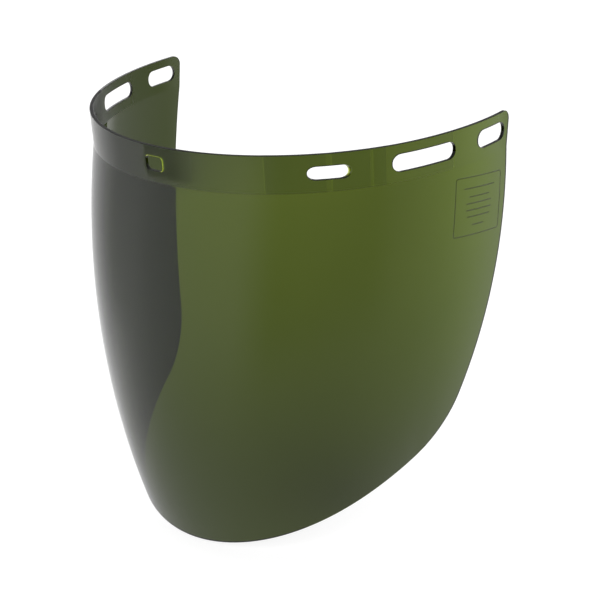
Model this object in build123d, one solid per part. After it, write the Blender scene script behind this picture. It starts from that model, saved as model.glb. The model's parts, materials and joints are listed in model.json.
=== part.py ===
# Window of a face shield: one tinted moulding, bowed round the face and bulged downward.
# Millimetres. +X is the wearer's left, +Y points back to the wearer, +Z is up.
# The origin is on the axis of the rim's front arc, level with the top edge.
from build123d import *
import math
import os

# Plan of the rim, measured on its outside: a front arc carried on by a flatter arc each side.
FRONT_RADIUS = 118.0
FRONT_HALF_ANGLE = 70.0
EAR_RADIUS = 150.0
RIM_HALF_LENGTH = 209.5

# Upright section of the window below the band: an arc that starts by leaning outward.
BAND_HEIGHT = 19.5
FRONT_LEAN = 0.276
SIDE_LEAN = 0.091
PROFILE_RADIUS = 410.0

# Wall thickness, measured level. The band is thickened on its inside.
WINDOW_WALL = 2.0
BAND_WALL = 2.1
BAND_HALF_LENGTH = 162.5

# Trimmed edge seen from the side: a straight chin line, a round corner and a bowed rear edge.
CHIN_DEPTH = 226.5
CHIN_SLOPE = 0.429
CHIN_CORNER_RADIUS = 53.0
REAR_LEAN = 0.129
REAR_RADIUS = 1140.0
TOP_CORNER_RADIUS = 5.0

# Slots for the headgear, each cut straight through from the side:
# middle of the slot behind the front of the rim, length, height, corner radius.
SIDE_SLOTS = (
    (35.4, 15.4, 6.8, 3.0),
    (78.1, 35.2, 9.0, 4.2),
    (124.1, 23.4, 9.4, 4.5),
)
SLOT_DEPTH = 9.6

# Hole at the middle of the band, cut straight through from the front.
HOLE_WIDTH = 11.5
HOLE_HEIGHT = 7.5
HOLE_RADIUS = 2.0
HOLE_DEPTH = 9.2

# Oversize sheet that the outline is trimmed from, and how finely its sections are sampled.
SHEET_HALF_LENGTH = 222.0
SHEET_DEPTH = 240.0
SECTION_LEVELS = 6
SECTION_POINTS = 33
CLEARANCE = 20.0


def heading(distance):
    """Angle the rim has turned through, at a distance along it from the front."""
    front_angle = math.radians(FRONT_HALF_ANGLE)
    front_length = FRONT_RADIUS * front_angle
    travelled = abs(distance)
    if travelled <= front_length:
        angle = travelled / FRONT_RADIUS
    else:
        angle = front_angle + (travelled - front_length) / EAR_RADIUS
    return math.copysign(angle, distance)


def rim_point(distance):
    """Plan position of the rim's outside, at a distance along it from the front."""
    front_angle = math.radians(FRONT_HALF_ANGLE)
    angle = abs(heading(distance))
    x = FRONT_RADIUS * math.sin(angle)
    y = -FRONT_RADIUS * math.cos(angle)
    if angle > front_angle:
        radius_step = FRONT_RADIUS - EAR_RADIUS
        x = radius_step * math.sin(front_angle) + EAR_RADIUS * math.sin(angle)
        y = -radius_step * math.cos(front_angle) - EAR_RADIUS * math.cos(angle)
    return math.copysign(x, distance), y


def bulge(depth, angle):
    """How far the window stands outside the rim, at a depth below the top edge."""
    below_band = max(depth - BAND_HEIGHT, 0)
    lean = FRONT_LEAN * math.cos(angle) ** 2 + SIDE_LEAN * math.sin(angle) ** 2
    return lean * below_band - below_band**2 / (2 * PROFILE_RADIUS)


def wall_point(distance, depth, inset):
    """Point of the wall, set in level from its outside."""
    x, y = rim_point(distance)
    angle = heading(distance)
    outward = bulge(depth, angle) - inset
    return Vector(x + outward * math.sin(angle), y - outward * math.cos(angle), -depth)


def section(depth, half_length, outer_inset, inner_inset):
    """Level cross-section of the wall between two insets."""
    last = SECTION_POINTS - 1
    stations = [half_length * (2 * i / last - 1) for i in range(SECTION_POINTS)]
    outer = Spline([wall_point(s, depth, outer_inset) for s in stations])
    inner = Spline([wall_point(s, depth, inner_inset) for s in stations])
    ends = [Line(outer @ end, inner @ end) for end in (0, 1)]
    return make_face([outer, inner] + ends)


def window_sheet():
    """Bulged wall from the bottom of the band down past the chin."""
    step = (SHEET_DEPTH - BAND_HEIGHT) / (SECTION_LEVELS - 1)
    depths = [BAND_HEIGHT + i * step for i in range(SECTION_LEVELS)]
    return loft([section(depth, SHEET_HALF_LENGTH, 0, WINDOW_WALL) for depth in depths])


def rim_sheet():
    """Upright wall above the window, thickened on the inside along the band."""
    wall = section(BAND_HEIGHT, SHEET_HALF_LENGTH, 0, WINDOW_WALL)
    rib = section(BAND_HEIGHT, BAND_HALF_LENGTH, WINDOW_WALL / 2, BAND_WALL)
    up = (0, 0, 1)
    return extrude(wall, BAND_HEIGHT, dir=up) + extrude(rib, BAND_HEIGHT, dir=up)


def rear_edge(depth):
    """How far back the rear edge lies at a depth below the top edge."""
    top = rim_point(RIM_HALF_LENGTH)[1]
    return top - REAR_LEAN * depth - depth**2 / (2 * REAR_RADIUS)


def chin_corner_depth():
    """Depth at which the chin line would meet the rear edge if the corner were sharp."""
    # The chin line is at y = (CHIN_DEPTH - depth) / CHIN_SLOPE behind the front of the rim.
    squared = 1 / (2 * REAR_RADIUS)
    linear = REAR_LEAN - 1 / CHIN_SLOPE
    constant = CHIN_DEPTH / CHIN_SLOPE - FRONT_RADIUS - rear_edge(0)
    return (-linear - math.sqrt(linear**2 - 4 * squared * constant)) / (2 * squared)


def side_outline():
    """Side view of the trimmed part, with y across and z up."""
    low = chin_corner_depth()
    front = -FRONT_RADIUS - 2 * CLEARANCE
    front_low = CHIN_DEPTH + 2 * CLEARANCE * CHIN_SLOPE
    rear_top = (rear_edge(0), 0)
    rear_middle = (rear_edge(low / 2), -low / 2)
    rear_low = (rear_edge(low), -low)
    top = Line((front, 0), rear_top)
    rear = ThreePointArc(rear_top, rear_middle, rear_low)
    chin = Line(rear_low, (front, -front_low))
    closing = Line((front, -front_low), (front, 0))
    outline = make_face([top, rear, chin, closing])
    outline = fillet(outline.vertices().sort_by_distance(rear_low)[0], CHIN_CORNER_RADIUS)
    return fillet(outline.vertices().sort_by_distance(rear_top)[0], TOP_CORNER_RADIUS)


def across(sketch):
    """Prism of a side view, running right across the part."""
    reach = EAR_RADIUS
    side = Plane(origin=(-reach, 0, 0), x_dir=(0, 1, 0), z_dir=(1, 0, 0))
    return extrude(side * sketch, 2 * reach)


def slot_cut(behind_front, length, height, radius):
    """One slot of the left side and its twin on the right."""
    centre = Pos(behind_front - FRONT_RADIUS, -SLOT_DEPTH)
    return across(centre * RectangleRounded(length, height, radius))


def hole_cut():
    """The hole at the middle of the band."""
    front = Plane(origin=(0, -FRONT_RADIUS - CLEARANCE, 0), x_dir=(1, 0, 0), z_dir=(0, -1, 0))
    hole = Pos(0, -HOLE_DEPTH) * RectangleRounded(HOLE_WIDTH, HOLE_HEIGHT, HOLE_RADIUS)
    return extrude(front * hole, -2 * CLEARANCE)


def window():
    """The whole moulding."""
    moulding = (window_sheet() + rim_sheet()) & across(side_outline())
    for slot in SIDE_SLOTS:
        moulding -= slot_cut(*slot)
    return moulding - hole_cut()


os.makedirs("parts", exist_ok=True)
export_step(window(), "parts/window.step")
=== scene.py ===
"""Looks of the face shield window: one tinted, transparent moulding on a pale studio floor."""
import json
import math

import bmesh
import bpy
from mathutils import Matrix, Vector
from mathutils.geometry import delaunay_2d_cdt
from mathutils.kdtree import KDTree


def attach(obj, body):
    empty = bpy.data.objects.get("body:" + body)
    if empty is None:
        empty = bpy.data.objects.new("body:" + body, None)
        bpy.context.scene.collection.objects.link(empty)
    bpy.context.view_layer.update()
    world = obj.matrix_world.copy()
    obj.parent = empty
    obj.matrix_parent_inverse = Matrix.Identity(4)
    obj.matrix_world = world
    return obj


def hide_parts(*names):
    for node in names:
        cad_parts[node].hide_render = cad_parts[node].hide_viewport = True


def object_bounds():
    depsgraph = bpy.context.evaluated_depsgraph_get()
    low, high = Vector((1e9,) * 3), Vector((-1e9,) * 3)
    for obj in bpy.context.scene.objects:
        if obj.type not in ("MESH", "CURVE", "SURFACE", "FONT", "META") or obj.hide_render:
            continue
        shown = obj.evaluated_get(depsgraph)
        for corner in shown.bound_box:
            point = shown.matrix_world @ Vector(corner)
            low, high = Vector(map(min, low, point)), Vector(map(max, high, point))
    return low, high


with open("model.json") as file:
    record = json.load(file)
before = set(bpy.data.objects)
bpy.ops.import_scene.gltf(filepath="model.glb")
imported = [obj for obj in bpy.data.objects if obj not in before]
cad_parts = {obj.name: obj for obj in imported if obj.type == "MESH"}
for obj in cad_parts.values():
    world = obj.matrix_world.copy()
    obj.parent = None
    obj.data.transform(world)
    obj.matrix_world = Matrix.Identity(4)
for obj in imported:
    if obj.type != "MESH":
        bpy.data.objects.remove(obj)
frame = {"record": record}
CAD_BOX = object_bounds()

# +X is the wearer's left, +Y points back to the wearer and +Z is up. The origin is on the axis of
# the rim's front arc, level with the top edge. The window's shape is worked out in millimetres and
# scaled to metres when its mesh is made.
MM = 0.001
MOUNTS = {mount["name"]: mount for mount in frame["record"]["mounts"]}

# Plan of the rim, measured on its outside: a front arc carried on by a flatter arc each side.
FRONT_RADIUS = -MOUNTS["centre_hole"]["pos_m"][1] / MM
FRONT_HALF_ANGLE = math.radians(70.0)
EAR_RADIUS = 150.0
RIM_HALF_LENGTH = 209.5

# Upright section below the band: an arc that starts by leaning outward.
BAND_HEIGHT = 19.5
BAND_HALF_LENGTH = 162.5
FRONT_LEAN = 0.276
SIDE_LEAN = 0.091
PROFILE_RADIUS = 410.0
WALL = 2.0

# Trimmed edge seen from the side.
CHIN_DEPTH = 226.5
CHIN_SLOPE = 0.429
CHIN_CORNER_RADIUS = 53.0
REAR_LEAN = 0.129
REAR_RADIUS = 1140.0
TOP_CORNER_RADIUS = 5.0

# Slots: middle behind the front of the rim, length, height, corner radius.
SIDE_SLOTS = (
    (35.4, 15.4, 6.8, 3.0),
    (78.1, 35.2, 9.0, 4.2),
    (124.1, 23.4, 9.4, 4.5),
)
SLOT_DEPTH = 9.6
HOLE_WIDTH = 11.5
HOLE_HEIGHT = 7.5
HOLE_RADIUS = 2.0
HOLE_DEPTH = -MOUNTS["centre_hole"]["pos_m"][2] / MM

# Cut edges are rounded, and their colour is darkened with painted shade. The front pair of slots and
# the hole, which are these in the order of rings(), have no painted shade on their inner side, where
# light inside the plastic leaves.
EDGE_RADIUS = 0.25
EDGE_PAINTED_SHADE = 1.0
CLEAR_EDGES = (1, 2, 7)
# Painted glow along the top of the hole, against 1 on the wearer's left of it.
TOP_PAINTED_GLOW = 0.45

# Shallow relief has short ramps at its edges.
RAMP = 0.3
# Inside of the band: its height at the middle, then where it changes on the way out and by how much.
BAND_RAISE = -0.04
BAND_STEPS = ((61.5, 0.14), (122.0, -0.13))
# Sunk witness strips across the band: where each starts and ends, each side of the middle.
WITNESS_STRIPS = ((91.6, 94.6), (113.6, 115.4))
WITNESS_RAISE = -0.11
# Frosted pad round the hole: it starts sharply and fades out between two distances.
PAD_START = -7.3
PAD_FADE_START = 12.0
PAD_FADE_END = 34.0
PAD_BOTTOM = 15.3
PAD_RAISE = 0.1
PAD_FROST = 2.0

# Fine sunk outline on the left wing with plain bars in it, in line with the rear edge.
PANEL_CENTRE = (178.9, 43.0)
PANEL_HALF = (18.0, 15.3)
PANEL_CORNER = 1.5
PANEL_TURN = math.radians(7.2)
PANEL_LINE = 0.45
PANEL_RAISE = -0.08
PANEL_RAMP = 0.12
# Share of the painted shade tone on the panel's lines and bars.
PANEL_PAINTED_SHADE = 0.95
BAR_HEIGHT = 0.55
BAR_CORNER = 0.2
# Bars of the panel: how far below its middle each lies, and its length.
BARS = ((-9.5, 24.0), (-5.0, 16.0), (-1.5, 20.0), (2.0, 20.0), (5.5, 18.0), (10.0, 9.0))

# Spacing of the mesh's points: inside the wall, along the long edges and along the short ones.
GRID_STEP = 3.0
LONG_STEP = 2.0
EDGE_STEP = 1.0
CORNER_CELLS = 5
# Nearest that points of the relief and of the grid lie to a point that is there already.
RELIEF_GAP = 0.5
GRID_GAP = 1.5
TOUCHING = 1e-6
# Step either side of a point from which its normal is found.
NORMAL_STEP = 0.05
# Halvings of a search, and limits a little beyond the window, along the rim and down.
HALVINGS = 40
FARTHEST = 1.2 * RIM_HALF_LENGTH
DEEPEST = 1.2 * CHIN_DEPTH


# ---------------------------------------------------------------- shape of the wall

def heading(distance):
    """Angle the rim has turned through, at a distance along it from the front."""
    front_length = FRONT_RADIUS * FRONT_HALF_ANGLE
    travelled = abs(distance)
    if travelled <= front_length:
        angle = travelled / FRONT_RADIUS
    else:
        angle = FRONT_HALF_ANGLE + (travelled - front_length) / EAR_RADIUS
    return math.copysign(angle, distance)


def rim_point(distance):
    """Plan position of the rim's outside, at a distance along it from the front."""
    angle = abs(heading(distance))
    x = FRONT_RADIUS * math.sin(angle)
    y = -FRONT_RADIUS * math.cos(angle)
    if angle > FRONT_HALF_ANGLE:
        radius_step = FRONT_RADIUS - EAR_RADIUS
        x = radius_step * math.sin(FRONT_HALF_ANGLE) + EAR_RADIUS * math.sin(angle)
        y = -radius_step * math.cos(FRONT_HALF_ANGLE) - EAR_RADIUS * math.cos(angle)
    return math.copysign(x, distance), y


def bulge(depth, angle):
    """How far the window stands outside the rim, at a depth below the top edge."""
    below_band = max(depth - BAND_HEIGHT, 0)
    lean = FRONT_LEAN * math.cos(angle) ** 2 + SIDE_LEAN * math.sin(angle) ** 2
    return lean * below_band - below_band**2 / (2 * PROFILE_RADIUS)


def wall_point(distance, depth, inset):
    """Point of the wall, set in level from its outside."""
    x, y = rim_point(distance)
    angle = heading(distance)
    outward = bulge(depth, angle) - inset
    return Vector((x + outward * math.sin(angle), y - outward * math.cos(angle), -depth))


# ---------------------------------------------------------------- shallow relief

def rise(value, start, end):
    """Smooth step from 0 to 1 as a value goes from start to end."""
    share = min(max((value - start) / (end - start), 0), 1)
    return share * share * (3 - 2 * share)


def box_distance(point, half, corner):
    """Distance outside a rounded rectangle about the origin; negative inside it."""
    across = abs(point[0]) - half[0] + corner
    up = abs(point[1]) - half[1] + corner
    outside = math.hypot(max(across, 0), max(up, 0))
    return outside + min(max(across, up), 0) - corner


def plateau(distance, ramp=RAMP):
    """1 inside an edge and 0 outside it, with a short ramp between."""
    return 1 - rise(distance, -ramp / 2, ramp / 2)


def panel_place(distance, depth):
    """Place on the marking panel, from its centre and along its own sides."""
    along = distance - PANEL_CENTRE[0]
    down = depth - PANEL_CENTRE[1]
    cosine = math.cos(PANEL_TURN)
    sine = math.sin(PANEL_TURN)
    return along * cosine + down * sine, down * cosine - along * sine


def from_panel(place):
    """Distance and depth of a place on the marking panel."""
    cosine = math.cos(PANEL_TURN)
    sine = math.sin(PANEL_TURN)
    along = place[0] * cosine - place[1] * sine
    down = place[0] * sine + place[1] * cosine
    return PANEL_CENTRE[0] + along, PANEL_CENTRE[1] + down


def panel_mark(distance, depth):
    """1 on the panel's outline and bars, and 0 off them."""
    place = panel_place(distance, depth)
    if max(abs(place[0]) - PANEL_HALF[0], abs(place[1]) - PANEL_HALF[1]) > PANEL_LINE:
        return 0.0
    frame_line = abs(box_distance(place, PANEL_HALF, PANEL_CORNER)) - PANEL_LINE / 2
    painted_shade_mark = plateau(frame_line, PANEL_RAMP)
    for below, length in BARS:
        offset = (place[0], place[1] - below)
        painted_shade_mark += plateau(box_distance(offset, (length / 2, BAR_HEIGHT / 2), BAR_CORNER), PANEL_RAMP)
    return painted_shade_mark


def outer_raise(distance, depth):
    """Height of the relief on the outside of the wall."""
    return PANEL_RAISE * panel_mark(distance, depth)


def pad_share(distance, depth):
    """1 on the pad round the hole, fading out towards the wearer's left."""
    starts = rise(distance, PAD_START - RAMP, PAD_START)
    fades = 1 - rise(distance, PAD_FADE_START, PAD_FADE_END)
    return starts * fades * plateau(depth - PAD_BOTTOM)


def band_share(distance, depth):
    """1 on the band, which is raised and frosted inside, and 0 off it."""
    return plateau(depth - BAND_HEIGHT) * plateau(abs(distance) - BAND_HALF_LENGTH)


def inner_raise(distance, depth):
    """Height of the relief on the inside of the wall."""
    if depth > BAND_HEIGHT + RAMP:
        return 0.0
    height = BAND_RAISE
    for start, change in BAND_STEPS:
        height += change * (1 - plateau(abs(distance) - start))
    for start, end in WITNESS_STRIPS:
        strip = abs(abs(distance) - (start + end) / 2) - (end - start) / 2
        height += WITNESS_RAISE * plateau(strip)
    return height * band_share(distance, depth) + PAD_RAISE * pad_share(distance, depth)


def outer_point(distance, depth):
    """Point on the outside of the wall, relief included."""
    return wall_point(distance, depth, -outer_raise(distance, depth))


def inner_point(distance, depth):
    """Point on the inside of the wall, relief included."""
    return wall_point(distance, depth, WALL + inner_raise(distance, depth))


# ---------------------------------------------------------------- trimmed outline and cuts

def solve(function, low, high, target):
    """Where a rising function reaches a target, by halving."""
    for _ in range(HALVINGS):
        middle = (low + high) / 2
        if function(middle) < target:
            low = middle
        else:
            high = middle
    return (low + high) / 2


def distance_at(back, depth, inset):
    """Distance along the left half of the rim at which the wall is this far back."""
    return solve(lambda s: wall_point(s, depth, inset).y, 0, FARTHEST, back)


def chin_depth_at(distance, inset):
    """Depth of the chin line at a distance along the rim."""
    def passed(depth):
        back = wall_point(distance, depth, inset).y + FRONT_RADIUS
        return depth + CHIN_SLOPE * back
    return solve(passed, 0, DEEPEST, CHIN_DEPTH)


def rear_edge(depth):
    """How far back the rear edge lies at a depth below the top edge."""
    top = rim_point(RIM_HALF_LENGTH)[1]
    return top - REAR_LEAN * depth - depth**2 / (2 * REAR_RADIUS)


def rear_slope(depth):
    """How fast the rear edge comes forward as it goes down."""
    return REAR_LEAN + depth / REAR_RADIUS


def corner_centre(radius, depth):
    """Centre of a corner arc that touches the rear edge at this depth."""
    slope = rear_slope(depth)
    reach = radius / math.hypot(1, slope)
    return rear_edge(depth) - reach, depth - reach * slope


def arc(centre, radius, start, end):
    """Points along an arc, its ends included."""
    count = round(radius * abs(end - start) / EDGE_STEP)
    angles = [start + (end - start) * i / count for i in range(count + 1)]
    return [(centre[0] + radius * math.cos(a), centre[1] + radius * math.sin(a)) for a in angles]


def side_path():
    """Top corner, rear edge and chin corner in side view, as (how far back, depth)."""
    top_touch = solve(lambda d: corner_centre(TOP_CORNER_RADIUS, d)[1], 0, CHIN_DEPTH,
                      TOP_CORNER_RADIUS)
    top = corner_centre(TOP_CORNER_RADIUS, top_touch)
    path = arc(top, TOP_CORNER_RADIUS, -math.pi / 2, math.atan(rear_slope(top_touch)))

    def chin_reach(depth):
        back, down = corner_centre(CHIN_CORNER_RADIUS, depth)
        return (down + CHIN_SLOPE * (back + FRONT_RADIUS) - CHIN_DEPTH) / math.hypot(1, CHIN_SLOPE)

    chin_touch = solve(chin_reach, 0, CHIN_DEPTH, -CHIN_CORNER_RADIUS)
    chin = corner_centre(CHIN_CORNER_RADIUS, chin_touch)
    count = round((chin_touch - top_touch) / LONG_STEP)
    for i in range(1, count):
        depth = top_touch + (chin_touch - top_touch) * i / count
        path.append((rear_edge(depth), depth))
    chin_angle = math.atan2(1, CHIN_SLOPE)
    return path + arc(chin, CHIN_CORNER_RADIUS, math.atan(rear_slope(chin_touch)), chin_angle)


def outline(inset):
    """Trimmed edge of the whole window as (distance, depth), at one inset."""
    side = [(distance_at(back, depth, inset), depth) for back, depth in side_path()]
    top_count = round(side[0][0] / LONG_STEP)
    top = [(side[0][0] * i / top_count, 0.0) for i in range(top_count)]
    chin_count = round(side[-1][0] / LONG_STEP)
    chin = []
    for i in range(chin_count - 1, -1, -1):
        distance = side[-1][0] * i / chin_count
        chin.append((distance, chin_depth_at(distance, inset)))
    half = top + side + chin
    return half + [(-distance, depth) for distance, depth in half[-2:0:-1]]


def rounded_rectangle(centre, width, height, radius, step=EDGE_STEP):
    """Points round a rounded rectangle, closed."""
    points = []
    corners = ((1, -1, -0.5), (1, 1, 0.0), (-1, 1, 0.5), (-1, -1, 1.0))
    for side, up, turn in corners:
        middle = (centre[0] + side * (width / 2 - radius), centre[1] + up * (height / 2 - radius))
        start = turn * math.pi
        count = max(round(radius * math.pi / 2 / step), CORNER_CELLS)
        for i in range(count + 1):
            angle = start + math.pi / 2 * i / count
            points.append((middle[0] + radius * math.cos(angle), middle[1] + radius * math.sin(angle)))
        run = (width - 2 * radius) if side == up else (height - 2 * radius)
        across = (-side, 0) if side == up else (0, side)
        last = points[-1]
        extra = max(round(run / step), 1)
        for i in range(1, extra):
            share = run * i / extra
            points.append((last[0] + across[0] * share, last[1] + across[1] * share))
    return points


def slot_ring(slot, side, inset):
    """One slot as (distance, depth); side is 1 on the wearer's left and -1 on the right.

    Its rear end runs straight across from the side, and its front end is square to the wall.
    """
    behind_front, length, height, radius = slot
    middle = (behind_front - FRONT_RADIUS, SLOT_DEPTH)
    ring = []
    for back, depth in rounded_rectangle(middle, length, height, radius):
        square = distance_at(back, depth, 0)
        across = distance_at(back, depth, inset)
        share = rise(back, middle[0] - length / 2 + radius, middle[0] + length / 2 - radius)
        ring.append((side * (square + (across - square) * share), depth))
    return ring


def hole_ring(inset):
    """The hole at the middle of the band as (distance, depth)."""
    ring = rounded_rectangle((0, HOLE_DEPTH), HOLE_WIDTH, HOLE_HEIGHT, HOLE_RADIUS, EDGE_STEP / 2)
    radius = FRONT_RADIUS - inset
    return [(FRONT_RADIUS * math.asin(x / radius), depth) for x, depth in ring]


def rings(inset):
    """Every closed edge of the wall at one inset, the outline first."""
    found = [outline(inset)]
    for slot in SIDE_SLOTS:
        found.append(slot_ring(slot, 1, inset))
        found.append(slot_ring(slot, -1, inset))
    found.append(hole_ring(inset))
    return found


def signed_area(ring):
    """Area of a closed ring; its sign says which way round it runs."""
    pairs = zip(ring, ring[1:] + ring[:1])
    return sum(a[0] * b[1] - b[0] * a[1] for a, b in pairs) / 2


def moved_in(ring, amount):
    """Ring moved square to itself, towards its inside for a positive amount."""
    turn = math.copysign(1, signed_area(ring))
    moved = []
    for i, (distance, depth) in enumerate(ring):
        before = ring[i - 1]
        after = ring[(i + 1) % len(ring)]
        along = (after[0] - before[0], after[1] - before[1])
        length = math.hypot(*along)
        moved.append((distance - turn * amount * along[1] / length,
                      depth + turn * amount * along[0] / length))
    return moved


# ---------------------------------------------------------------- points that carry the relief

def inside(point, ring):
    """True if a point is inside a closed ring."""
    crossings = 0
    for a, b in zip(ring, ring[1:] + ring[:1]):
        if (a[1] > point[1]) != (b[1] > point[1]):
            if point[0] < a[0] + (b[0] - a[0]) * (point[1] - a[1]) / (b[1] - a[1]):
                crossings += 1
    return crossings % 2 == 1


def on_wall(point, edges):
    """True if a point is inside the outline and outside every cut."""
    return inside(point, edges[0]) and not any(inside(point, ring) for ring in edges[1:])


def across_ramp(ramp):
    """Offsets from an edge that hold its ramp: flat on both sides, steep in the middle."""
    reach = ramp / 2 + NORMAL_STEP
    return -reach, 0.0, reach


def panel_lines():
    """Closed lines along the edges of the panel's outline and bars."""
    lines = []
    for shift in (-1, 1):
        for offset in across_ramp(PANEL_RAMP):
            grow = shift * (PANEL_LINE / 2 + offset)
            lines.append(rounded_rectangle((0, 0), 2 * (PANEL_HALF[0] + grow),
                                           2 * (PANEL_HALF[1] + grow), PANEL_CORNER + grow))
    for below, length in BARS:
        for grow in across_ramp(PANEL_RAMP):
            lines.append(rounded_rectangle((0, below), length + 2 * grow,
                                           BAR_HEIGHT + 2 * grow, BAR_CORNER + grow))
    return [[from_panel(place) for place in line] for line in lines]


def upright_row(distance, low, high):
    """Points down the wall at one distance."""
    count = round((high - low) / EDGE_STEP)
    return [(distance, low + (high - low) * i / count) for i in range(count + 1)]


def level_row(depth, low, high):
    """Points along the wall at one depth."""
    count = round((high - low) / EDGE_STEP)
    return [(low + (high - low) * i / count, depth) for i in range(count + 1)]


def kink_lines():
    """Lines on either side of the level where the wall starts to lean out."""
    reach = RIM_HALF_LENGTH - TOP_CORNER_RADIUS
    return [level_row(BAND_HEIGHT + offset, -reach, reach) for offset in across_ramp(RAMP)]


def band_points():
    """Points along the edges of the band, its witness strips and the pad."""
    points = []
    edges = [edge for strip in WITNESS_STRIPS for edge in strip]
    edges += [start for start, _ in BAND_STEPS] + [BAND_HALF_LENGTH]
    for offset in across_ramp(RAMP):
        for edge in edges:
            points += upright_row(edge + offset, EDGE_STEP, BAND_HEIGHT - EDGE_STEP)
            points += upright_row(-edge - offset, EDGE_STEP, BAND_HEIGHT - EDGE_STEP)
        points += level_row(PAD_BOTTOM + offset, PAD_START, PAD_FADE_END)
        points += upright_row(PAD_START - RAMP / 2 + offset, EDGE_STEP, PAD_BOTTOM - EDGE_STEP / 2)
    return points


def grid_points():
    """Even points over the whole sheet, in staggered rows."""
    points = []
    columns = math.ceil(FARTHEST / GRID_STEP)
    for row in range(math.ceil(DEEPEST / GRID_STEP)):
        stagger = 0.5 * (row % 2)
        for column in range(-columns, columns + 1):
            points.append(((column + stagger) * GRID_STEP, row * GRID_STEP))
    return points


def spaced(fixed, extra, gap, edges):
    """Those extra points that are on the wall and not too near a fixed point."""
    tree = KDTree(len(fixed))
    for index, point in enumerate(fixed):
        tree.insert((*point, 0), index)
    tree.balance()
    kept = []
    for point in extra:
        if tree.find((*point, 0))[2] >= gap and on_wall(point, edges):
            kept.append(point)
    return kept


def fill(edges, closed_lines, open_lines, relief):
    """Triangles over the wall between its edges; returns their points and the triangles.

    The triangles keep to the edges and lines given, which come first among the points.
    """
    points = []
    ties = []
    for line in edges + closed_lines + open_lines:
        first = len(points)
        points += line
        ties += [(i, i + 1) for i in range(first, len(points) - 1)]
        if line not in open_lines:
            ties.append((len(points) - 1, first))
    points += spaced(points, relief, RELIEF_GAP, edges)
    points += spaced(points, grid_points(), GRID_GAP, edges)
    flat = [Vector(point) for point in points]
    vertices, _, faces, origins, _, _ = delaunay_2d_cdt(flat, ties, [], 0, TOUCHING)
    source = [origin[0] for origin in origins]
    kept = []
    for face in faces:
        middle = sum((vertices[i] for i in face), Vector((0, 0))) / len(face)
        if on_wall(middle, edges):
            kept.append([source[i] for i in face])
    return points, kept


# ---------------------------------------------------------------- the window's mesh

def surface_normal(surface, place, outward):
    """Normal of a surface at (distance, depth), found from points a little either side."""
    distance, depth = place
    along = surface(distance + NORMAL_STEP, depth) - surface(distance - NORMAL_STEP, depth)
    down = surface(distance, depth + NORMAL_STEP) - surface(distance, max(depth - NORMAL_STEP, 0))
    normal = along.cross(down).normalized()
    return -normal if outward else normal


def wall_normals(first, second, outer):
    """Normals of a cut edge, from its two rings of points and the ring that it rounds into."""
    normals = []
    count = len(first)
    for i in range(count):
        along = first[(i + 1) % count] - first[i - 1]
        normal = along.cross(second[i] - first[i]).normalized()
        if normal.dot(first[i] - outer[i]) < 0:
            normal.negate()
        normals.append(normal)
    return normals


def set_back_edges(inset):
    """Every edge at one inset, moved on to the wall by the edges' rounding, the outline first."""
    outer, *cuts = rings(inset)
    return [moved_in(outer, EDGE_RADIUS)] + [moved_in(cut, -EDGE_RADIUS) for cut in cuts]


def add_points(shape, points, normals, frost, painted_shade_mark, glow):
    """Add points with their normals and layers to the shape; returns the first one's number."""
    first = len(shape["points"])
    shape["points"] += points
    shape["normals"] += normals
    shape["frost"] += frost
    shape["painted_shade_mark"] += painted_shade_mark
    shape["glow"] += glow
    return first


def add_outside(shape):
    """Outside of the wall; returns the number of its first point."""
    places, faces = fill(set_back_edges(0), panel_lines(), kink_lines(), [])
    shape["faces"] += [face[::-1] for face in faces]
    return add_points(
        shape,
        [outer_point(*place) for place in places],
        [surface_normal(outer_point, place, True) for place in places],
        frost=[PAD_FROST * pad_share(*place) for place in places],
        # Painted shade on the panel's lines and bars.
        painted_shade_mark=[PANEL_PAINTED_SHADE * panel_mark(*place) for place in places],
        glow=[0.0] * len(places))


def add_inside(shape):
    """Inside of the wall; returns the number of its first point."""
    places, faces = fill(set_back_edges(WALL), [], kink_lines(), band_points())
    first = add_points(
        shape,
        [inner_point(*place) for place in places],
        [surface_normal(inner_point, place, False) for place in places],
        frost=[band_share(*place) for place in places],
        painted_shade_mark=[0.0] * len(places),
        glow=[0.0] * len(places))
    shape["faces"] += [[first + i for i in face] for face in faces]
    return first


def painted_edge_glow(distance, depth):
    """Painted glow at the hole's top and left edges, standing in for light from inside the plastic that
    leaves there.
    """
    if abs(distance) > HOLE_WIDTH or abs(depth - HOLE_DEPTH) > HOLE_HEIGHT:
        return 0.0
    side = rise(distance, HOLE_WIDTH / 2 - HOLE_RADIUS, HOLE_WIDTH / 2 - EDGE_RADIUS)
    top = rise(HOLE_DEPTH - depth, HOLE_HEIGHT / 2 - HOLE_RADIUS / 2, HOLE_HEIGHT / 2 - EDGE_RADIUS)
    return max(side, TOP_PAINTED_GLOW * top)


def add_cut_edge(shape, near, far, outer_first, inner_first, inner_painted_shade):
    """One cut edge between the rings of points on the outside and inside, with two rings of its own."""
    count = len(near)
    near_points = [wall_point(*place, EDGE_RADIUS) for place in near]
    far_points = [wall_point(*place, WALL - EDGE_RADIUS + inner_raise(*place)) for place in far]
    outer_points = shape["points"][outer_first:outer_first + count]
    normals = wall_normals(near_points, far_points, outer_points)
    blank = [0.0] * count
    # The near ring takes painted shade, and painted glow at the hole. The far ring takes painted shade
    # too, unless its edge is clear.
    near_first = add_points(shape, near_points, normals, frost=blank, painted_shade_mark=[EDGE_PAINTED_SHADE] * count,
                            glow=[painted_edge_glow(*place) for place in near])
    far_first = add_points(shape, far_points, normals, frost=blank, painted_shade_mark=[inner_painted_shade] * count,
                           glow=blank)
    starts = (outer_first, near_first, far_first, inner_first)
    for left, right in zip(starts, starts[1:]):
        for i in range(count):
            j = (i + 1) % count
            shape["faces"].append([left + i, left + j, right + j, right + i])


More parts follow.
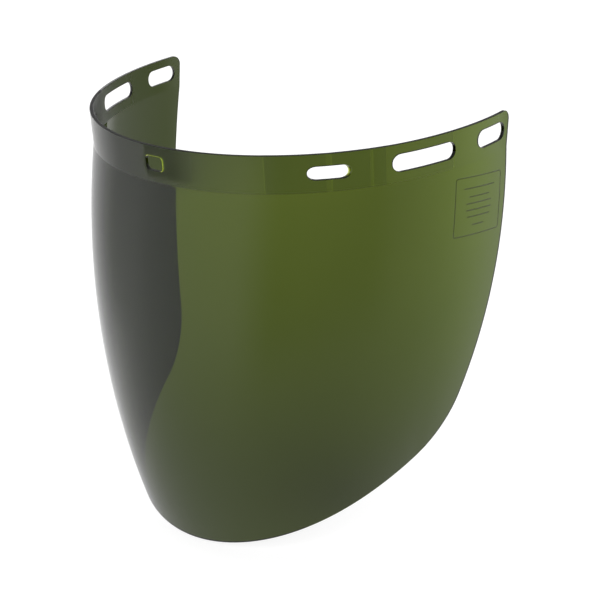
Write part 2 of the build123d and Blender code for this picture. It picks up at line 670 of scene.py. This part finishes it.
def window_shape():
    """Closed mesh of the wall: outside, inside and rounded edges, with normals and layers of frosting,
    painted shade and painted glow.
    """
    shape = {"points": [], "normals": [], "frost": [], "painted_shade_mark": [], "glow": [], "faces": []}
    outer_first = add_outside(shape)
    inner_first = add_inside(shape)
    for index, (near, far) in enumerate(zip(rings(EDGE_RADIUS), rings(WALL - EDGE_RADIUS))):
        # Clear edges get no painted shade on their inner side.
        inner_painted_shade = 0.0 if index in CLEAR_EDGES else EDGE_PAINTED_SHADE
        add_cut_edge(shape, near, far, outer_first, inner_first, inner_painted_shade)
        outer_first += len(near)
        inner_first += len(near)
    return shape


def window():
    """The window piece."""
    shape = window_shape()
    mesh = bpy.data.meshes.new("window_moulding")
    mesh.from_pydata([point * MM for point in shape["points"]], [], shape["faces"])
    work = bmesh.new()
    work.from_mesh(mesh)
    bmesh.ops.recalc_face_normals(work, faces=work.faces)
    work.to_mesh(mesh)
    work.free()
    for polygon in mesh.polygons:
        polygon.use_smooth = True
    # Layers of the mesh: frosting, painted shade and painted glow.
    for name in ("frost", "painted_shade_mark", "glow"):
        mesh.attributes.new(name, "FLOAT", "POINT").data.foreach_set("value", shape[name])
    mesh.normals_split_custom_set_from_vertices(shape["normals"])
    mesh.materials.append(tinted_plastic())
    piece = bpy.data.objects.new("window_moulding", mesh)
    bpy.context.collection.objects.link(piece)
    return piece


# ---------------------------------------------------------------- materials

# Refractive index of polycarbonate.
REFRACTION = 1.58
# Colour and density, per metre, of the light taken up inside the plastic.
TINT = (0.54, 0.60, 0.0, 1)
TINT_DENSITY = 2850.0
# Tones of the surface by the flow of the moulding, each with the noise value it starts at.
FLOW_TONES = ((0.3, (0.94, 0.96, 0.92, 1)), (0.7, (1, 1, 1, 1)))
FLOW_SCALE = 14.0
# Painted shade tone of cut edges and of the panel's lines, and colour of the painted glow at the hole's
# edges.
PAINTED_SHADE_TONE = (0.06, 0.055, 0.06, 1)
PAINTED_GLOW_COLOUR = (1.5, 1.8, 0.08, 1)
# Roughness of the gloss, from clean to handled, between two noise values; then that of frosting.
GLOSS = (0.01, 0.05)
GLOSS_RANGE = (0.4, 0.7)
FROSTING = 0.3
# Waves of the moulded surface.
WAVE_SCALE = 60.0
WAVE_HEIGHT = 0.0002
WAVE_STRENGTH = 0.02


def new_material(name):
    """Node material with only an output; returns it, its nodes, its links and the output."""
    material = bpy.data.materials.new(name)
    material.use_nodes = True
    nodes = material.node_tree.nodes
    nodes.clear()
    return material, nodes, material.node_tree.links, nodes.new("ShaderNodeOutputMaterial")


def noise(nodes, links, scale, detail):
    """Noise texture in the object's own coordinates."""
    coordinates = nodes.new("ShaderNodeTexCoord")
    texture = nodes.new("ShaderNodeTexNoise")
    texture.inputs["Scale"].default_value = scale
    texture.inputs["Detail"].default_value = detail
    links.new(coordinates.outputs["Object"], texture.inputs["Vector"])
    return texture.outputs["Fac"]


def point_value(nodes, name):
    """Value that the mesh holds for each point."""
    layer = nodes.new("ShaderNodeAttribute")
    layer.attribute_name = name
    return layer.outputs["Fac"]


def surface_tone(nodes, links):
    """Slight unevenness of the tint from the flow of the moulding, and the painted shade on cut edges
    and the panel's lines.
    """
    flow = nodes.new("ShaderNodeValToRGB")
    for element, (position, tone) in zip(flow.color_ramp.elements, FLOW_TONES):
        element.position = position
        element.color = tone
    links.new(noise(nodes, links, FLOW_SCALE, detail=2.0), flow.inputs["Fac"])
    marked = nodes.new("ShaderNodeMix")
    marked.data_type = "RGBA"
    links.new(point_value(nodes, "painted_shade_mark"), marked.inputs["Factor"])
    links.new(flow.outputs["Color"], marked.inputs["A"])
    marked.inputs["B"].default_value = PAINTED_SHADE_TONE
    return marked.outputs["Result"]


def surface_roughness(nodes, links):
    """Handling marks on the gloss, and the frosting."""
    smudges = nodes.new("ShaderNodeMapRange")
    smudges.inputs["From Min"].default_value = GLOSS_RANGE[0]
    smudges.inputs["From Max"].default_value = GLOSS_RANGE[1]
    smudges.inputs["To Min"].default_value = GLOSS[0]
    smudges.inputs["To Max"].default_value = GLOSS[1]
    links.new(noise(nodes, links, WAVE_SCALE, detail=2.0), smudges.inputs["Value"])
    frosted = nodes.new("ShaderNodeMath")
    frosted.operation = "MULTIPLY_ADD"
    frosted.inputs[1].default_value = FROSTING
    links.new(point_value(nodes, "frost"), frosted.inputs[0])
    links.new(smudges.outputs["Result"], frosted.inputs[2])
    return frosted.outputs["Value"]


def surface_waves(nodes, links):
    """Faint waviness of the moulded surface."""
    bump = nodes.new("ShaderNodeBump")
    bump.inputs["Strength"].default_value = WAVE_STRENGTH
    bump.inputs["Distance"].default_value = WAVE_HEIGHT
    links.new(noise(nodes, links, WAVE_SCALE, detail=0.0), bump.inputs["Height"])
    return bump.outputs["Normal"]


def tinted_plastic():
    """Yellow-green tinted polycarbonate: glossy, frosted on the inside of the band."""
    material, nodes, links, output = new_material("tinted_polycarbonate")
    shader = nodes.new("ShaderNodeBsdfPrincipled")
    shader.inputs["IOR"].default_value = REFRACTION
    shader.inputs["Transmission Weight"].default_value = 1.0
    shader.inputs["Emission Color"].default_value = PAINTED_GLOW_COLOUR
    # The base colour carries the painted shade of cut edges and panel lines.
    links.new(surface_tone(nodes, links), shader.inputs["Base Color"])
    links.new(surface_roughness(nodes, links), shader.inputs["Roughness"])
    links.new(surface_waves(nodes, links), shader.inputs["Normal"])
    # Painted glow at the hole's edges, read from the mesh.
    links.new(point_value(nodes, "glow"), shader.inputs["Emission Strength"])
    links.new(shader.outputs["BSDF"], output.inputs["Surface"])

    tint = nodes.new("ShaderNodeVolumeAbsorption")
    tint.inputs["Color"].default_value = TINT
    tint.inputs["Density"].default_value = TINT_DENSITY
    links.new(tint.outputs["Volume"], output.inputs["Volume"])
    return material


def emission_material(name):
    """Stage material that only gives off light, with its emission node."""
    material, nodes, links, output = new_material(name)
    glow = nodes.new("ShaderNodeEmission")
    links.new(glow.outputs["Emission"], output.inputs["Surface"])
    return material, nodes, links, glow


def pale_floor():
    """Floor that glows softly and takes a soft shadow."""
    material, nodes, links, output = new_material("pale_floor")
    glow = nodes.new("ShaderNodeEmission")
    glow.inputs["Strength"].default_value = FLOOR_GLOW
    matt = nodes.new("ShaderNodeBsdfDiffuse")
    matt.inputs["Color"].default_value = (FLOOR_MATT, FLOOR_MATT, FLOOR_MATT, 1)
    both = nodes.new("ShaderNodeAddShader")
    links.new(glow.outputs["Emission"], both.inputs[0])
    links.new(matt.outputs["BSDF"], both.inputs[1])
    links.new(both.outputs["Shader"], output.inputs["Surface"])
    return material


def glow_by_point(name):
    """Glow read from the mesh, point by point."""
    material, nodes, links, glow = emission_material(name)
    links.new(point_value(nodes, "glow"), glow.inputs["Strength"])
    return material


# ---------------------------------------------------------------- studio

# Metres. The floor lies this little below the part and reaches this far each way.
FLOOR_GAP = 0.0005
FLOOR_HALF = 6.0
# Its own glow, and the lightness of its matt part, which takes the shadow.
FLOOR_GLOW = 0.75
FLOOR_MATT = 0.35

# Round card that only reflections see, and the dim ceiling over it.
SURROUND_RADIUS = 0.5
SURROUND_TOP = 0.12
CEILING_GLOW = 0.25
ROUND_CELLS = 96
# Circles of the floor as (radius, share of the wall's tones) and of the wall as (height, share).
FLOOR_CIRCLES = ((0.001, 0.0), (0.22, 0.0), (0.29, 0.12), (0.36, 0.35), (0.43, 0.6), (0.5, 0.8))
WALL_CIRCLES = ((0.03, 0.9), (0.07, 1.0), (0.348, 1.0))
# Brightness of the floor and of the wall by direction, from the front round towards +X.
FLOOR_TONES = ((-180, 0.85), (-110, 0.86), (-92, 1.05), (-60, 1.0), (-45, 0.85), (-20, 0.7), (10, 0.63),
               (30, 0.54), (50, 0.5), (95, 0.52), (110, 0.6), (130, 0.78), (150, 0.82), (180, 0.85))
WALL_TONES = ((-180, 0.42), (-170, 0.42), (-160, 0.85), (-110, 0.88), (-85, 0.8), (-65, 0.64),
              (-45, 0.85), (-20, 0.78), (12, 0.72), (28, 0.34), (72, 0.34), (82, 0.45),
              (105, 0.58), (120, 0.72), (138, 0.85), (148, 0.42), (180, 0.42))

# Glow of the floor as seen through the window: dimmer round a place under the chin, brighter to
# the wearer's left and back, and dimmer far to the wearer's right.
SHADE_CENTRE = (0.055, -0.038)
SHADE_REACH = 0.21
SHADE_DEPTH = 0.71
POOL_START = -0.02
POOL_WIDTH = 0.13
POOL_SLANT = 0.6
POOL_GAIN = 1.2
POOL_POWER = 2.2
FAR_START = -0.38
FAR_WIDTH = 0.15
FAR_DROP = 0.4
THROUGH_HALF = 1.2
THROUGH_CELLS = 160

# Large soft light, aimed at the origin.
KEY_SIZE = 1.2
KEY_POWER = 6.0
KEY_PLACE = (-0.8, -0.3, 1.3)


def floor_glow(x, y):
    """Glow of the floor seen through the window at a place on it."""
    away = math.hypot(x - SHADE_CENTRE[0], y - SHADE_CENTRE[1])
    shade = 1 - SHADE_DEPTH * math.exp(-away / SHADE_REACH)
    pool = min(max((x + POOL_SLANT * y - POOL_START) / POOL_WIDTH, 0), 1)
    far = min(max((FAR_START - x) / FAR_WIDTH, 0), 1)
    lit = 1 + POOL_GAIN * pool**POOL_POWER
    return (FLOOR_GLOW + FLOOR_MATT) * shade * lit * (1 - FAR_DROP * far)


def seen_only(card, kind):
    """Card that only reflections, or only rays through the window, can see."""
    card.visible_camera = False
    card.visible_diffuse = False
    card.visible_shadow = False
    card.visible_glossy = kind == "reflected"
    card.visible_transmission = kind == "through"


def stage_piece(name, points, faces, material, glow=()):
    """Stage object from plain points and faces, with a glow for each point if there is one."""
    mesh = bpy.data.meshes.new(name)
    mesh.from_pydata(points, [], faces)
    if glow:
        mesh.attributes.new("glow", "FLOAT", "POINT").data.foreach_set("value", glow)
    mesh.materials.append(material)
    piece = bpy.data.objects.new(name, mesh)
    bpy.context.collection.objects.link(piece)
    return piece


def level_square(name, half, height, material, cells=1, glow_at=None):
    """Square lying level about the origin, its points glowing by their place if a rule is given."""
    step = 2 * half / cells
    row = cells + 1
    points = [(i * step - half, j * step - half, height) for j in range(row) for i in range(row)]
    faces = []
    for j in range(cells):
        for i in range(cells):
            corner = j * row + i
            faces.append((corner, corner + 1, corner + row + 1, corner + row))
    glow = [glow_at(x, y) for x, y, _ in points] if glow_at else []
    return stage_piece(name, points, faces, material, glow)


def tone_at(tones, angle):
    """Tone in one direction, from a list of (angle from the front, tone)."""
    for (start, first), (end, last) in zip(tones, tones[1:]):
        if angle <= end:
            return first + (last - first) * (angle - start) / (end - start)
    return tones[-1][1]


def surround(circles, material):
    """Floor and wall all round the part; circles are (radius, height, share of the wall's tones)."""
    points = []
    glow = []
    for radius, height, share in circles:
        for i in range(ROUND_CELLS):
            angle = 360 * i / ROUND_CELLS - 180
            turn = math.radians(angle)
            points.append((radius * math.sin(turn), -radius * math.cos(turn), height))
            glow.append(tone_at(FLOOR_TONES, angle) * (1 - share) + tone_at(WALL_TONES, angle) * share)
    faces = []
    for ring in range(len(circles) - 1):
        for i in range(ROUND_CELLS):
            first = ring * ROUND_CELLS + i
            second = ring * ROUND_CELLS + (i + 1) % ROUND_CELLS
            faces.append((first, second, second + ROUND_CELLS, first + ROUND_CELLS))
    return stage_piece("surround", points, faces, material, glow)


def soft_key():
    """Large soft light from above, on the wearer's right."""
    light = bpy.data.lights.new("soft_key", "AREA")
    light.shape = "DISK"
    light.size = KEY_SIZE
    light.energy = KEY_POWER
    key = bpy.data.objects.new("soft_key", light)
    key.location = KEY_PLACE
    key.rotation_euler = (-key.location).to_track_quat("-Z", "Y").to_euler()
    key.visible_glossy = False
    key.visible_transmission = False
    bpy.context.collection.objects.link(key)


def white_world():
    """White light from all round, which reflections do not see."""
    world = bpy.data.worlds.new("studio")
    world.use_nodes = True
    background = world.node_tree.nodes["Background"]
    background.inputs["Color"].default_value = (1, 1, 1, 1)
    background.inputs["Strength"].default_value = 1.0
    world.cycles_visibility.glossy = False
    bpy.context.scene.world = world


def studio():
    """Pale floor, soft even light and the tones that the plastic reflects and lets through."""
    ground = CAD_BOX[0][2] - FLOOR_GAP
    floor = level_square("floor", FLOOR_HALF, ground, pale_floor())
    floor.visible_glossy = False
    floor.visible_transmission = False
    toned = glow_by_point("studio_tones")
    circles = [(radius, ground, share) for radius, share in FLOOR_CIRCLES]
    circles += [(SURROUND_RADIUS, ground + height, share) for height, share in WALL_CIRCLES]
    seen_only(surround(circles, toned), "reflected")
    dim, _, _, ceiling_glow = emission_material("dim_ceiling")
    ceiling_glow.inputs["Strength"].default_value = CEILING_GLOW
    seen_only(level_square("ceiling", SURROUND_RADIUS, SURROUND_TOP, dim), "reflected")
    through = level_square("floor_through", THROUGH_HALF, ground, toned, THROUGH_CELLS, floor_glow)
    seen_only(through, "through")
    white_world()
    soft_key()


# ---------------------------------------------------------------- camera

CAMERA_AZIMUTH = 40.49
CAMERA_HEIGHT_ANGLE = 24.72
CAMERA_ROLL = -3.2
CAMERA_LOCATION = (0.4511, -0.5400, 0.1941)
FOCAL_LENGTH = 77.32
SENSOR_WIDTH = 36.0
NEAREST_SEEN = 0.01


def camera():
    """Camera in front of the part, to the wearer's left and above."""
    data = bpy.data.cameras.new("camera")
    data.lens = FOCAL_LENGTH
    data.sensor_width = SENSOR_WIDTH
    data.clip_start = NEAREST_SEEN
    eye = bpy.data.objects.new("camera", data)
    turn = Matrix.Rotation(math.radians(CAMERA_AZIMUTH), 4, "Z")
    tilt = Matrix.Rotation(math.radians(90 - CAMERA_HEIGHT_ANGLE), 4, "X")
    roll = Matrix.Rotation(math.radians(CAMERA_ROLL), 4, "Z")
    eye.matrix_world = Matrix.Translation(CAMERA_LOCATION) @ turn @ tilt @ roll
    bpy.context.collection.objects.link(eye)
    bpy.context.scene.camera = eye


camera()
studio()
bpy.context.scene.view_settings.view_transform = "Standard"
moulding = window()
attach(moulding, "root")
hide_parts("window")
